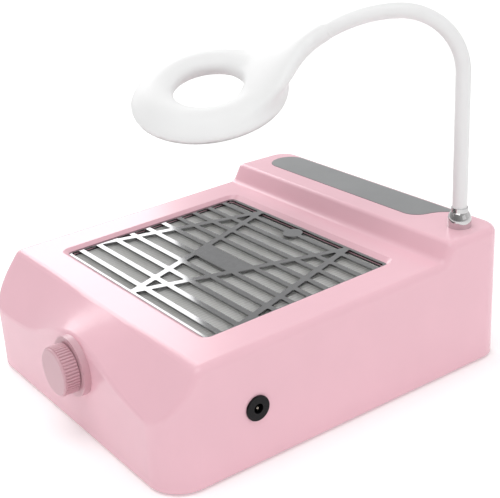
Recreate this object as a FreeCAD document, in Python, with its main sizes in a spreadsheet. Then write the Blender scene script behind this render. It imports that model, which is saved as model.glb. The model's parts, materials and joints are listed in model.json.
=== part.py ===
import FreeCAD, Part
import math
import os
import re
import Sketcher
from FreeCAD import Placement, Rotation, Vector

# Desk-top nail dust collector: a pink moulded housing with a sloping front,
# a filter under a polished grille in its top, a centrifugal fan below, a speed
# knob in front, a power socket on the right and a ring lamp on a bending neck.
#
# Frame: +Z up, +X to the right of someone facing the knob, +Y to the back.
# The origin is the centre of the whole object's footprint, under the feet.

doc = FreeCAD.newDocument("nail_dust_collector")

# ---------------------------------------------------------------- sizes (mm)

SIZES = [
    ("housing_x", -0.6, "housing centre from the origin, across"),
    ("housing_y", 7.0, "housing centre from the origin, front to back"),
    ("housing_z", 2.0, "underside of the housing above the table"),
    ("housing_width", 210, "housing across"),
    ("housing_depth", 243.5, "housing front to back"),
    ("wall", 2.5, "thickness of the moulded walls"),
    ("front_corner", 20, "radius of the two front corners seen from above"),
    ("rear_corner", 14, "radius of the two rear corners seen from above"),
    ("lip_height", 38, "height of the upright front face beside the hump"),
    ("hump_x", 14.5, "middle of the hump and of the knob"),
    ("hump_step", 24, "distance between the hump's control points"),
    ("hump_rise", 20.2, "rise of the hump above the lip"),
    ("brow_y", 98.5, "distance of the top's front edge from the centre"),
    ("brow_z", 67.7, "height of the top's front edge"),
    ("slope", 1.55, "rise of the top towards the back, degrees"),
    ("ridge_foot", 71.5, "where the rear ridge starts"),
    ("ridge_brow", 78, "front edge of the ridge's flat top"),
    ("ridge_z", 83.3, "height of the ridge"),
    ("ridge_hollow", 5, "radius in the angle before the ridge"),
    ("ridge_round", 4, "radius along the ridge's front edge"),
    ("brow_round", 6, "radius along the top's front edge"),
    ("soft_edge", 4.5, "radius of the edge all round the top"),
    ("screw_post", 4.5, "radius of the pillars for the base screws"),
    ("screw_radius", 1.5, "screw shank"),
    ("post_foot", 3.1, "where the pillars stand, on the base plate"),
    ("vent_width", 4, "rear vent slot"),
    ("vent_height", 22, "rear vent slot"),
    ("vent_foot", 11, "lower end of the rear vent slots"),
    ("magnet_width", 1, "bar magnet under the grille's edge"),
    ("magnet_length", 8, "bar magnet under the grille's edge"),
    ("magnet_height", 1.5, "bar magnet under the grille's edge"),
    ("panel_front", 92.5, "front edge of the ridge panel"),
    ("panel_rear", 117.3, "rear edge of the ridge panel"),
    ("panel_left", -79.8, "where the panel's left end turns round"),
    ("panel_tail", 49, "where the panel's tail starts"),
    ("panel_thick", 1.2, "thickness of the ridge panel"),
    ("panel_sunk", 1, "how far the panel is let into the ridge"),
    ("opening_y", -11.7, "middle of the filter opening"),
    ("opening_width", 161.4, "filter opening across, at the surface"),
    ("opening_depth", 136, "filter opening front to back, at the surface"),
    ("opening_corner", 6, "corner radius of the opening"),
    ("recess", 2.2, "depth of the grille's face below the surface"),
    ("grille_width", 156.8, "grille across"),
    ("grille_depth", 128.6, "grille front to back"),
    ("grille_thick", 1.2, "thickness of the grille plate"),
    ("grille_corner", 3.6, "corner radius of the grille"),
    ("grille_gap", 0.3, "gap round the grille"),
    ("grille_border", 1.7, "width of the grille's border"),
    ("tab_radius", 6.3, "half-round finger tab on the grille"),
    ("bar_pitch", 12.3, "distance between the grille's bars"),
    ("bar_width", 3.4, "width of a bar"),
    ("rib_width", 4.2, "width of a slanting rib"),
    ("rib_peak", 43.4, "where the slanting ribs meet at the back"),
    ("rim_depth", 6.6, "depth of the thick rim round the opening"),
    ("bay_width", 153.4, "filter bay across, inside"),
    ("bay_depth", 125.2, "filter bay front to back, inside"),
    ("bay_wall", 1.8, "thickness of the bay's walls and floor"),
    ("bay_bottom", 26.2, "depth of the bay's underside below the surface"),
    ("filter_height", 20, "height of the filter cartridge"),
    ("filter_gap", 0.35, "gap round the filter cartridge"),
    ("filter_top", 4.3, "depth of the cartridge's top below the surface"),
    ("filter_wall", 1.2, "thickness of the cartridge's frame"),
    ("pleat_pitch", 2.6, "distance between pleats"),
    ("pleat_height", 12, "height of a pleat"),
    ("paper", 0.35, "thickness of the filter paper"),
    ("fan_x", 0, "fan shaft, across"),
    ("fan_y", -4, "fan shaft, front to back"),
    ("fan_floor", 5.2, "underside of the fan case"),
    ("fan_radius", 62, "outside of the round part of the fan case"),
    ("fan_height", 29, "height of the fan case"),
    ("fan_wall", 1.8, "thickness of the fan case"),
    ("inlet_radius", 43, "fan inlet"),
    ("impeller_radius", 54, "impeller"),
    ("impeller_height", 20, "height of the blades"),
    ("cup_radius", 20.2, "motor cup in the middle of the impeller"),
    ("bearing_radius", 4.5, "outside of a bearing"),
    ("shaft_radius", 2, "fan shaft"),
    ("knob_z", 42, "height of the knob's axis above the underside"),
    ("knob_radius", 14.2, "speed knob"),
    ("knob_length", 9.6, "speed knob along its axis"),
    ("collar_radius", 17.4, "fixed collar behind the knob"),
    ("collar_thick", 4, "thickness of the collar"),
    ("knob_gap", 0.4, "gap between knob and collar"),
    ("spindle_radius", 3, "spindle that the knob turns"),
    ("bushing_radius", 3.55, "threaded bushing round the spindle"),
    ("socket_y", -65.3, "power socket, front to back"),
    ("socket_z", 33, "power socket above the underside"),
    ("socket_flange", 7.2, "radius of the power socket's flange"),
    ("socket_proud", 1.2, "how far the flange stands out"),
    ("socket_bore", 2.85, "radius of the hole for the plug"),
    ("barrel_radius", 5.5, "threaded barrel of the power socket"),
    ("post_x", 87.7, "lamp post, across"),
    ("post_y", 101, "lamp post, front to back"),
    ("ferrule_radius", 7.1, "foot of the metal ferrule"),
    ("ferrule_height", 12, "height of the metal ferrule"),
    ("tail_radius", 5.1, "threaded tail of the ferrule, below the ridge"),
    ("neck_radius", 4.35, "bending neck"),
    ("neck_bend", 36.5, "radius of the neck's tight bend"),
    ("neck_knee", 128, "height of the neck's lower bending point"),
    ("neck_start", 175.2, "height where the neck starts to bend"),
    ("neck_long_bend", 81, "radius of the neck's long bend"),
    ("neck_drop", 24.4, "downward angle where the neck meets the head"),
    ("ring_outer", 46.6, "lamp ring, outside"),
    ("ring_hole", 22.3, "lamp ring, hole in its underside"),
    ("ring_throat", 20.2, "lamp ring, narrowest part of the hole"),
    ("ring_height", 11.4, "lamp ring, thickness at its crest"),
    ("foot_radius", 6.5, "rubber foot"),
    ("base_lift", 0.5, "underside of the base plate above the housing's"),
    ("base_thick", 2.5, "thickness of the base plate"),
]

sheet = doc.addObject("Spreadsheet::Sheet", "Sizes")
for row, (alias, number_text, meaning) in enumerate(SIZES, 1):
    sheet.set(f"A{row}", meaning)
    sheet.set(f"B{row}", str(number_text))
    sheet.setAlias(f"B{row}", alias)
doc.recompute()

# ------------------------------------------------------------------- helpers

NECK_HEADING = 230       # degrees from +X to the way the lamp's neck leans
HEAD_PITCH = -2.8        # fall of the ring away from the neck, degrees
HEAD_ROLL = -19.4        # turn of the ring about its stem, degrees
REACH = 143.5            # ring's centre from the lamp post, along the heading
RING_Z = 166.5           # underside of the ring at its centre


def bound(text):
    """Turns each word of a formula into that cell of the sheet."""
    return re.sub(r"[a-z][a-z_]+", r"Sizes.\g<0>", text)


def number(text):
    """Value of a formula of the sheet's words."""
    return float(sheet.evalExpression(bound(str(text))))


def place(thing, x, y, z, rotation=Rotation()):
    """Puts a thing at a point given from the housing's own centre."""
    origin = Vector(number("housing_x"), number("housing_y"), number("housing_z"))
    point = Vector(number(x), number(y), number(z))
    thing.Placement = Placement(origin.add(point), rotation)
    return thing


def top_point(y):
    """Height of the sloping top at y, from the housing's centre."""
    run = y + number("brow_y")
    return number("brow_z") + run * math.tan(math.radians(number("slope")))


def place_on_top(thing, x, y, z):
    """Puts a thing in the tilted frame of the filter opening."""
    tilt = Rotation(Vector(1, 0, 0), number("slope"))
    local = tilt.multVec(Vector(number(x), number(y), number(z)))
    middle = number("opening_y")
    return place(thing, local.x, middle + local.y, top_point(middle) + local.z, tilt)


def cylinder(name, radius, height):
    thing = doc.addObject("Part::Cylinder", name)
    thing.setExpression("Radius", bound(radius))
    thing.setExpression("Height", bound(height))
    return thing


def cone(name, low, high, height):
    thing = doc.addObject("Part::Cone", name)
    thing.setExpression("Radius1", bound(low))
    thing.setExpression("Radius2", bound(high))
    thing.setExpression("Height", bound(height))
    return thing


def box(name, length, width, height):
    thing = doc.addObject("Part::Box", name)
    thing.setExpression("Length", bound(length))
    thing.setExpression("Width", bound(width))
    thing.setExpression("Height", bound(height))
    return thing


def fuse(name, things):
    if len(things) == 1:
        return things[0]
    thing = doc.addObject("Part::MultiFuse", name)
    thing.Shapes = things
    return thing


def cut(name, base, *tools):
    thing = doc.addObject("Part::Cut", name)
    thing.Base = base
    thing.Tool = fuse(f"{name}_tools", list(tools))
    return thing


def group(name, things):
    """Several separate solids that share one node."""
    thing = doc.addObject("Part::Compound", name)
    thing.Links = things
    return thing


def tube(name, outer, inner, height):
    """A plain ring standing on its own origin."""
    hole = cylinder(f"{name}_hole", inner, f"{height} + 2")
    hole.Placement.Base.z = -1
    return cut(name, cylinder(f"{name}_body", outer, height), hole)


def shaped(name, shape):
    thing = doc.addObject("Part::Feature", name)
    thing.Shape = shape
    return thing


def new_body(name):
    return doc.addObject("PartDesign::Body", name)


def sketch_on(body, role, name, offset=Placement()):
    sketch = body.newObject("Sketcher::SketchObject", name)
    planes = [item for item in body.Origin.OriginFeatures if item.Role == role]
    sketch.AttachmentSupport = (planes[0], [""])
    sketch.MapMode = "FlatFace"
    sketch.AttachmentOffset = offset
    return sketch


def pin_vertex(sketch, piece, end, x, y):
    """Ties one end of a piece to a point given by two formulas."""
    for kind, axis, text in (("DistanceX", -2, x), ("DistanceY", -1, y)):
        value = number(text)
        if abs(value) < 1e-9:
            sketch.addConstraint(Sketcher.Constraint("PointOnObject", piece, end, axis))
            continue
        if value > 0:
            link = Sketcher.Constraint(kind, -1, 1, piece, end, value)
        else:
            link = Sketcher.Constraint(kind, piece, end, -1, 1, -value)
        index = sketch.addConstraint(link)
        formula = bound(text) if value > 0 else f"-({bound(text)})"
        sketch.setExpression(f"Constraints[{index}]", formula)


def arc_between(start, end, radius, side):
    """Arc from start to end; its centre is left of the way for side 1, right for -1."""
    chord = end - start
    middle = (start + end) * 0.5
    normal = Vector(-chord.y, chord.x, 0).normalize()
    offset = math.sqrt(max(radius ** 2 - (chord.Length / 2) ** 2, 0)) * side
    centre = middle + normal * offset
    first = math.atan2(start.y - centre.y, start.x - centre.x)
    last = math.atan2(end.y - centre.y, end.x - centre.x)
    circle = Part.Circle(centre, Vector(0, 0, 1), radius)
    if side > 0:
        return Part.ArcOfCircle(circle, first, last)
    return Part.ArcOfCircle(circle, last, first)


def outline(sketch, corners):
    """Closed outline. A corner is (x, y) or, after an arc, (x, y, radius, side)."""
    points = [Vector(number(item[0]), number(item[1]), 0) for item in corners]
    ends = []
    for index, corner in enumerate(corners):
        start, end = points[index - 1], points[index]
        if len(corner) == 2:
            piece = sketch.addGeometry(Part.LineSegment(start, end))
            ends.append((piece, 1, 2))
            continue
        radius, side = corner[2], corner[3]
        piece = sketch.addGeometry(arc_between(start, end, number(radius), side))
        ends.append((piece, 1, 2) if side > 0 else (piece, 2, 1))
        link = sketch.addConstraint(Sketcher.Constraint("Radius", piece, number(radius)))
        sketch.setExpression(f"Constraints[{link}]", bound(radius))
    for index, corner in enumerate(corners):
        piece, _, last = ends[index]
        following, first, _ = ends[(index + 1) % len(ends)]
        sketch.addConstraint(Sketcher.Constraint("Coincident", piece, last, following, first))
        pin_vertex(sketch, piece, last, corner[0], corner[1])


def rounded_rectangle(sketch, width, depth, radius):
    """Centred rectangle with rounded corners, its three sizes tied to the sheet."""
    across, along, corner = number(width) / 2, number(depth) / 2, number(radius)
    flat_x, flat_y = across - corner, along - corner
    lines = [
        ((-flat_x, -along), (flat_x, -along)),
        ((across, -flat_y), (across, flat_y)),
        ((flat_x, along), (-flat_x, along)),
        ((-across, flat_y), (-across, -flat_y)),
    ]
    centres = [(flat_x, -flat_y), (flat_x, flat_y), (-flat_x, flat_y), (-flat_x, -flat_y)]
    sides = []
    bends = []
    for index in range(4):
        start, end = (Vector(*point, 0) for point in lines[index])
        sides.append(sketch.addGeometry(Part.LineSegment(start, end)))
        circle = Part.Circle(Vector(*centres[index], 0), Vector(0, 0, 1), corner)
        begin = math.radians(90 * (index - 1))
        arc = Part.ArcOfCircle(circle, begin, begin + math.pi / 2)
        bends.append(sketch.addGeometry(arc))
    for index in range(4):
        link = Sketcher.Constraint
        sketch.addConstraint(link("Tangent", sides[index], 2, bends[index], 1))
        sketch.addConstraint(link("Tangent", bends[index], 2, sides[(index + 1) % 4], 1))
        if index > 1:
            sketch.addConstraint(link("Vertical" if index == 3 else "Horizontal", sides[index]))
        if index:
            sketch.addConstraint(link("Equal", bends[0], bends[index]))
    sketch.addConstraint(Sketcher.Constraint("Symmetric", sides[0], 1, sides[0], 2, -2))
    sketch.addConstraint(Sketcher.Constraint("Symmetric", sides[1], 1, sides[1], 2, -1))
    tied = [
        (Sketcher.Constraint("DistanceX", sides[3], 1, sides[1], 1, 2 * across), width),
        (Sketcher.Constraint("DistanceY", sides[0], 1, sides[2], 1, 2 * along), depth),
        (Sketcher.Constraint("Radius", bends[0], corner), radius),
    ]
    for link, text in tied:
        index = sketch.addConstraint(link)
        sketch.setExpression(f"Constraints[{index}]", bound(text))


def pad(body, sketch, length, name="pad", both_ways=False):
    feature = body.newObject("PartDesign::Pad", f"{body.Name}_{name}")
    feature.Profile = sketch
    feature.setExpression("Length", bound(length))
    feature.Midplane = both_ways
    sketch.Visibility = False
    body.Tip = feature
    return feature


def pocket(body, sketch, depth, name, reverse=False, both_ways=False):
    """Cuts the sketch away, and makes sure that something went."""
    doc.recompute()
    before = body.Shape.Volume
    feature = body.newObject("PartDesign::Pocket", f"{body.Name}_{name}")
    feature.Profile = sketch
    feature.setExpression("Length", bound(depth))
    feature.Reversed = reverse
    feature.Midplane = both_ways
    body.Tip = feature
    doc.recompute()
    if body.Shape.Volume > before - 1e-3:
        raise RuntimeError(f"{body.Name}: pocket {name} cut nothing")
    return feature


def plate(name, width, depth, corner, thickness):
    """A flat plate with rounded corners, its underside on its own XY plane."""
    body = new_body(name)
    sketch = sketch_on(body, "XY_Plane", f"{name}_outline")
    rounded_rectangle(sketch, width, depth, corner)
    pad(body, sketch, thickness)
    return body


def frame_plate(name, width, depth, corner, hole_width, hole_depth, hole_corner, thickness):
    """A flat rectangular frame: a rounded plate with a rounded hole."""
    body = new_body(name)
    sketch = sketch_on(body, "XY_Plane", f"{name}_outline")
    rounded_rectangle(sketch, width, depth, corner)
    rounded_rectangle(sketch, hole_width, hole_depth, hole_corner)
    pad(body, sketch, thickness)
    return body


def turned(name, corners, role="XZ_Plane"):
    """A solid of revolution about its own Z axis, from an outline in its XZ plane."""
    body = new_body(name)
    sketch = sketch_on(body, role, f"{name}_section")
    outline(sketch, corners)
    feature = body.newObject("PartDesign::Revolution", f"{name}_turned")
    feature.Profile = sketch
    feature.ReferenceAxis = (sketch, ["V_Axis"])
    feature.Angle = 360
    body.Tip = feature
    return body


def edges_where(shape, test):
    """Names of the edges whose middle point passes the test."""
    names = []
    for index, edge in enumerate(shape.Edges, 1):
        middle = edge.valueAt((edge.FirstParameter + edge.LastParameter) / 2)
        if test(middle, edge):
            names.append(f"Edge{index}")
    return names


def round_edges(body, radius, name, test):
    doc.recompute()
    base = body.Tip
    names = edges_where(base.Shape, test)
    if not names:
        raise RuntimeError(f"{body.Name}: no edges for {name}")
    feature = body.newObject("PartDesign::Fillet", f"{body.Name}_{name}")
    feature.Base = (base, names)
    feature.setExpression("Radius", bound(radius))
    body.Tip = feature
    doc.recompute()
    return feature


SUBPARTS = []


def keep(thing, name):
    """Marks a finished sub-part."""
    thing.Label = name
    SUBPARTS.append(thing)
    return thing


# ------------------------------------------------------------- upper housing

HUMP_SHAPE = (0, 0.22, 0.8, 1.1, 0.8, 0.22, 0)   # pull of the hump's control points


def front_section(body, name, inset, reach, top, rise):
    """Upright outline across the front; its top edge is one smooth curve over the hump."""
    offset = Placement(Vector(0, 0, number(reach)), Rotation())
    sketch = sketch_on(body, "XZ_Plane", name, offset)
    half = f"(housing_width / 2 - {inset})"
    edge, height = number(half), number(top)
    middle, step = number("hump_x"), number("hump_step")
    span = [(middle + (index - 3) * step, pull) for index, pull in enumerate(HUMP_SHAPE)]
    left, right = span[0][0], span[-1][0]
    flat_left = [(-edge, 0), ((left - 2 * edge) / 3, 0), ((2 * left - edge) / 3, 0)]
    flat_right = [((2 * right + edge) / 3, 0), ((right + 2 * edge) / 3, 0), (edge, 0)]
    poles = [Vector(x, height + pull * number(rise), 0) for x, pull in flat_left + span + flat_right]
    spans = len(poles) - 3
    curve = Part.BSplineCurve()
    ends = [4] + [1] * (spans - 1) + [4]
    curve.buildFromPolesMultsKnots(poles, ends, list(range(spans + 1)), False, 3)
    corners = [(-edge, height), (-edge, 0), (edge, 0), (edge, height)]
    lines = []
    for start, end in zip(corners, corners[1:]):
        line = Part.LineSegment(Vector(*start, 0), Vector(*end, 0))
        lines.append(sketch.addGeometry(line))
    formulas = [(f"-{half}", top), (f"-{half}", "0"), (half, "0"), (half, top)]
    for line, formula in zip(lines, formulas):
        pin_vertex(sketch, line, 1, *formula)
    pin_vertex(sketch, lines[-1], 2, *formulas[-1])
    for line, following in zip(lines, lines[1:]):
        sketch.addConstraint(Sketcher.Constraint("Coincident", line, 2, following, 1))
    crest = sketch.addGeometry(curve)
    sketch.addConstraint(Sketcher.Constraint("Block", crest))
    return sketch


def housing_block(name, inset):
    """The housing's outer form, or the space inside it, inset by the wall."""
    body = new_body(name)
    face = f"housing_depth / 2 - {inset}"
    brow = f"brow_y - {inset} / 2"
    brow_top = f"brow_z - {inset}"
    front = front_section(body, f"{name}_front", inset, face, f"lip_height - {inset}", "hump_rise")
    back = front_section(body, f"{name}_brow", inset, brow, brow_top, "0")
    nose = body.newObject("PartDesign::AdditiveLoft", f"{name}_nose")
    nose.Profile = front
    nose.Sections = [back]
    nose.Ruled = True
    body.Tip = nose
    side = sketch_on(body, "YZ_Plane", f"{name}_side")
    rise = math.tan(math.radians(number("slope")))
    foot_z = f"brow_z + (ridge_foot + brow_y) * {rise} - {inset}"
    outline(side, [
        (f"-({brow})", "0"),
        (face, "0"),
        (face, f"ridge_z - {inset}"),
        (f"ridge_brow + {inset}", f"ridge_z - {inset}"),
        (f"ridge_foot + {inset}", foot_z),
        (f"-({brow})", brow_top),
    ])
    pad(body, side, f"housing_width - 2 * {inset}", "rear", both_ways=True)
    return body


def plan_outline(sketch, inset):
    """The housing seen from above: large corners in front, small behind."""
    half_x = f"(housing_width / 2 - {inset})"
    half_y = f"(housing_depth / 2 - {inset})"
    front = f"(front_corner - {inset})"
    rear = f"(rear_corner - {inset})"
    outline(sketch, [
        (f"{half_x} - {front}", f"-{half_y}"),
        (half_x, f"-{half_y} + {front}", front, 1),
        (half_x, f"{half_y} - {rear}"),
        (f"{half_x} - {rear}", half_y, rear, 1),
        (f"-{half_x} + {rear}", half_y),
        (f"-{half_x}", f"{half_y} - {rear}", rear, 1),
        (f"-{half_x}", f"-{half_y} + {front}"),
        (f"-{half_x} + {front}", f"-{half_y}", front, 1),
    ])


def trim_corners(body, inset):
    """Takes away everything outside the rounded plan."""
    sketch = sketch_on(body, "XY_Plane", f"{body.Name}_plan")
    far = "housing_width"
    outline(sketch, [(f"-{far}", f"-{far}"), (far, f"-{far}"), (far, far), (f"-{far}", far)])
    plan_outline(sketch, inset)
    pocket(body, sketch, "2 * ridge_z", "corners", reverse=True)


def is_across(edge):
    return abs(edge.tangentAt(edge.FirstParameter).x) > 0.99


def near(value, text):
    return abs(value - number(text)) < 0.5


def outer_form():
    body = housing_block("housing_form", "0")
    high = number("brow_z") - 5
    round_edges(body, "ridge_hollow", "ridge_foot",
                lambda point, edge: is_across(edge) and near(point.y, "ridge_foot") and point.z > high)
    round_edges(body, "ridge_round", "ridge_edge",
                lambda point, edge: is_across(edge) and near(point.y, "ridge_brow") and point.z > high)
    round_edges(body, "brow_round", "brow_edge",
                lambda point, edge: is_across(edge) and near(point.y, "-brow_y") and point.z > high)
    trim_corners(body, "0")
    round_edges(body, "soft_edge", "rim_edge",
                lambda point, edge: point.z > high and near(point.y, "housing_depth / 2"))
    return body


def inner_form():
    block = housing_block("housing_hollow", "wall")
    plan = new_body("hollow_plan")
    sketch = sketch_on(plan, "XY_Plane", "hollow_outline")
    plan_outline(sketch, "wall")
    pad(plan, sketch, "ridge_z")
    hollow = doc.addObject("Part::MultiCommon", "hollow")
    hollow.Shapes = [block, plan]
    return hollow


SCREW_POSTS = [(x, y) for x in (-98.3, 98.3) for y in (-82, 60)]
MAGNET_SPOTS = [(x, y) for x in (-77.5, 77.5) for y in (-43, 0, 43)]
VENT_PITCH = 7.4


def screw_posts():
    """Four pillars that the screws of the base plate bite into."""
    posts = []
    for index, (x, y) in enumerate(SCREW_POSTS):
        post = cylinder(f"post_{index}", "screw_post", f"{top_point(y) - 1.2} - post_foot")
        posts.append(place(post, x, y, "post_foot"))
    return posts


def opening_tools():
    """Tools that cut the sloping mouth, the grille's seat and the filter bay."""
    mouth = new_body("mouth")
    seat_width = "grille_width + 2 * grille_gap"
    seat_depth = "grille_depth + 2 * grille_gap"
    seat_corner = "grille_corner + grille_gap"
    depth = Placement(Vector(0, 0, -number("recess")), Rotation())
    lower = sketch_on(mouth, "XY_Plane", "mouth_seat", depth)
    rounded_rectangle(lower, seat_width, seat_depth, seat_corner)
    upper = sketch_on(mouth, "XY_Plane", "mouth_surface", Placement(Vector(0, 0, 0.02), Rotation()))
    rounded_rectangle(upper, "opening_width", "opening_depth", "opening_corner")
    loft = mouth.newObject("PartDesign::AdditiveLoft", "mouth_loft")
    loft.Profile = lower
    loft.Sections = [upper]
    loft.Ruled = True
    mouth.Tip = loft
    seat = plate("grille_seat", seat_width, seat_depth, seat_corner, "grille_thick + 0.05")
    bay = plate("bay_cut", "bay_width", "bay_depth", "3", "rim_depth + 4")
    tools = [place_on_top(mouth, 0, 0, 0)]
    tools.append(place_on_top(seat, 0, 0, "-recess - grille_thick - 0.04"))
    tools.append(place_on_top(bay, 0, 0, "-rim_depth - 2"))
    for index, (x, y) in enumerate(MAGNET_SPOTS):
        pit = box(f"magnet_pit_{index}", "magnet_width + 0.1", "magnet_length + 0.1", "magnet_height + 0.1")
        corner_x, corner_y = f"{x} - magnet_width / 2 - 0.05", f"{y} - magnet_length / 2 - 0.05"
        tools.append(place_on_top(pit, corner_x, corner_y, "-recess - grille_thick - magnet_height - 0.1"))
    return tools


FORWARD = Rotation(Vector(1, 0, 0), 90)      # turns +Z to face the front
RIGHTWARD = Rotation(Vector(0, 1, 0), 90)    # turns +Z to face the right


def wall_tools():
    """Holes for the spindle, the power socket, the lamp and the outgoing air."""
    tools = [
        place(cylinder("spindle_hole", "bushing_radius + 0.05", "wall + 4"),
              "hump_x", "-housing_depth / 2 + wall + 2", "knob_z", FORWARD),
        place(cylinder("socket_hole", "barrel_radius + 0.2", "wall + 4"),
              "housing_width / 2 - wall - 2", "socket_y", "socket_z", RIGHTWARD),
        place(cylinder("ferrule_hole", "tail_radius + 0.1", "wall + 4"),
              "post_x", "post_y", "ridge_z - wall - 2"),
    ]
    for side in (-1, 1):
        for index in range(7):
            slot = box(f"vent_{side + 1}_{index}", "vent_width", "wall + 4", "vent_height")
            x = side * (12 + index * VENT_PITCH) - number("vent_width") / 2
            tools.append(place(slot, x, "housing_depth / 2 - wall - 2", "vent_foot"))
    for index, (x, y) in enumerate(SCREW_POSTS):
        pilot = cylinder(f"pilot_{index}", "screw_radius", "16")
        tools.append(place(pilot, x, y, "post_foot - 1"))
    return tools


def panel_outline(sketch, gap):
    """Long plate with a round left end and a swept tail at the right."""
    front, rear = number("panel_front") - gap, number("panel_rear") + gap
    end_radius = (rear - front) / 2
    left = number("panel_left")
    turn, finish = math.radians(78), math.radians(25)
    belly, sweep = 12 + gap, 20 - gap
    start = Vector(number("panel_tail"), front, 0)
    bend = start + Vector(belly * math.sin(turn), belly * (1 - math.cos(turn)), 0)
    reach_x = sweep * (math.sin(turn) - math.sin(finish))
    reach_y = sweep * (math.cos(finish) - math.cos(turn))
    tip = bend + Vector(reach_x, reach_y, 0)
    outline(sketch, [
        (str(start.x), str(start.y)),
        (str(bend.x), str(bend.y), str(belly), 1),
        (str(tip.x), str(tip.y), str(sweep), -1),
        (str(tip.x + 1), str(rear)),
        (str(left), str(rear)),
        (str(left - end_radius), str((front + rear) / 2), str(end_radius), 1),
        (str(left), str(front), str(end_radius), 1),
    ])


def panel_body(name, gap, thickness):
    body = new_body(name)
    sketch = sketch_on(body, "XY_Plane", f"{name}_outline")
    panel_outline(sketch, gap)
    pad(body, sketch, thickness)
    return body


def upper_housing():
    rim = frame_plate("opening_rim", "opening_width + 10", "opening_depth + 10", "8",
                      "bay_width", "bay_depth", "3", "rim_depth - 0.8")
    place_on_top(rim, 0, 0, "-rim_depth")
    form = place(outer_form(), 0, 0, 0)
    hollow = place(inner_form(), 0, 0, "-0.01")
    shell = cut("housing_shell", form, hollow)
    stock = fuse("housing_stock", [shell, rim] + screw_posts())
    inlay = place(panel_body("panel_seat", 0.15, "panel_thick"), 0, 0, "ridge_z - panel_sunk")
    keep(cut("upper_housing", stock, *opening_tools(), *wall_tools(), inlay), "upper_housing")


def ridge_panel():
    panel = panel_body("ridge_panel", 0, "panel_thick")
    keep(place(panel, 0, 0, "ridge_z - panel_sunk"), "ridge_panel")


def grille_magnets():
    bars = []
    for index, (x, y) in enumerate(MAGNET_SPOTS):
        bar = box(f"magnet_{index}", "magnet_width", "magnet_length", "magnet_height")
        corner_x, corner_y = f"{x} - magnet_width / 2", f"{y} - magnet_length / 2"
        bars.append(place_on_top(bar, corner_x, corner_y, "-recess - grille_thick - magnet_height - 0.05"))
    keep(group("magnets", bars), "grille_magnets")


# ------------------------------------------------------- base, feet and screws

FOOT_SPOTS = [(x, y) for x in (-88, 88) for y in (-95, 100)]
FAN_SCREW_SPOTS = [(x, y) for x in (-42, 42) for y in (-38, 66)]


def screw(name, shank, length, head, head_height):
    """A pan-head screw standing on the tip of its shank, head upwards."""
    top = cylinder(f"{name}_head", head, head_height)
    top.setExpression("Placement.Base.z", bound(length))
    return fuse(name, [cylinder(f"{name}_shank", shank, f"{length} + 0.1"), top])


def base_plate():
    body = new_body("base_form")
    sketch = sketch_on(body, "XY_Plane", "base_outline")
    plan_outline(sketch, "(wall + 0.3)")
    pad(body, sketch, "base_thick")
    place(body, 0, 0, "base_lift")
    holes = []
    for index, (x, y) in enumerate(SCREW_POSTS):
        hole = cylinder(f"base_hole_{index}", "screw_radius + 0.2", "base_thick + 2")
        holes.append(place(hole, x, y, "base_lift - 1"))
    for index, (x, y) in enumerate(FAN_SCREW_SPOTS):
        hole = cylinder(f"fan_pilot_{index}", "screw_radius", "base_thick + 2")
        holes.append(place(hole, x, y, "base_lift - 1"))
    keep(cut("base", body, *holes), "base_plate")


def rubber_feet():
    feet = []
    for index, (x, y) in enumerate(FOOT_SPOTS):
        foot = cone(f"foot_{index}", "foot_radius - 0.8", "foot_radius", "base_lift + housing_z")
        feet.append(place(foot, x, y, "-housing_z"))
    keep(group("rubber_feet", feet), "rubber_feet")


def base_screws():
    upside_down = Rotation(Vector(1, 0, 0), 180)
    screws = []
    for index, (x, y) in enumerate(SCREW_POSTS):
        item = screw(f"base_screw_{index}", "screw_radius - 0.06", "13.9", "3", "1.2")
        screws.append(place(item, x, y, "14.35", upside_down))
    keep(group("base_screws", screws), "base_screws")


# ------------------------------------------------------------ filter and grille

def filter_bay():
    body = plate("bay_tray", "bay_width + 2 * bay_wall", "bay_depth + 2 * bay_wall",
                 "3 + bay_wall", "bay_bottom - rim_depth - 0.05")
    hollow = plate("bay_hollow", "bay_width", "bay_depth", "3", "bay_bottom")
    hollow.Placement.Base.z = number("bay_wall")
    hole = cylinder("bay_outlet", "inlet_radius + 2", "bay_wall + 2")
    hole.Placement.Base.z = -1
    hole.setExpression("Placement.Base.y", bound("fan_y - opening_y"))
    keep(place_on_top(cut("bay", body, hollow, hole), 0, 0, "-bay_bottom"), "filter_bay")


def filter_frame():
    width = "bay_width - 2 * filter_gap"
    depth = "bay_depth - 2 * filter_gap"
    frame = frame_plate("cartridge_frame", width, depth, "3",
                        f"{width} - 2 * filter_wall", f"{depth} - 2 * filter_wall", "0.2", "filter_height")
    floor = "-filter_top - filter_height"
    keep(place_on_top(frame, 0, 0, floor), "filter_frame")
    hole_width, hole_depth = f"{width} - 2 * filter_wall + 0.3", f"{depth} - 2 * filter_wall + 0.3"
    seal = frame_plate("seal_frame", f"{width} - 0.6", f"{depth} - 0.6", "2.7",
                       hole_width, hole_depth, "0.3", "0.65")
    keep(place_on_top(seal, 0, 0, "-filter_top + 0.03"), "filter_seal")


def filter_media():
    """Folded paper: one zigzag strip, as long as the cartridge is deep."""
    across = number("bay_width - 2 * filter_gap - 2 * filter_wall") - 0.2
    along = number("bay_depth - 2 * filter_gap - 2 * filter_wall") - 0.2
    folds = int(across / number("pleat_pitch"))
    half = across / folds / 2
    rise = number("pleat_height")
    slant = number("paper") * math.hypot(half, rise) / half
    upper = []
    for index in range(2 * folds + 1):
        height = rise if index % 2 else 0
        upper.append(Vector(-across / 2 + index * half, -along / 2, height + slant / 2))
    lower = [point - Vector(0, 0, slant) for point in reversed(upper)]
    face = Part.Face(Part.makePolygon(upper + lower + upper[:1]))
    paper = shaped("pleats", face.extrude(Vector(0, along, 0)))
    keep(place_on_top(paper, 0, 0, f"-filter_top - 0.3 - pleat_height - {slant / 2}"), "filter_media")


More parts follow.
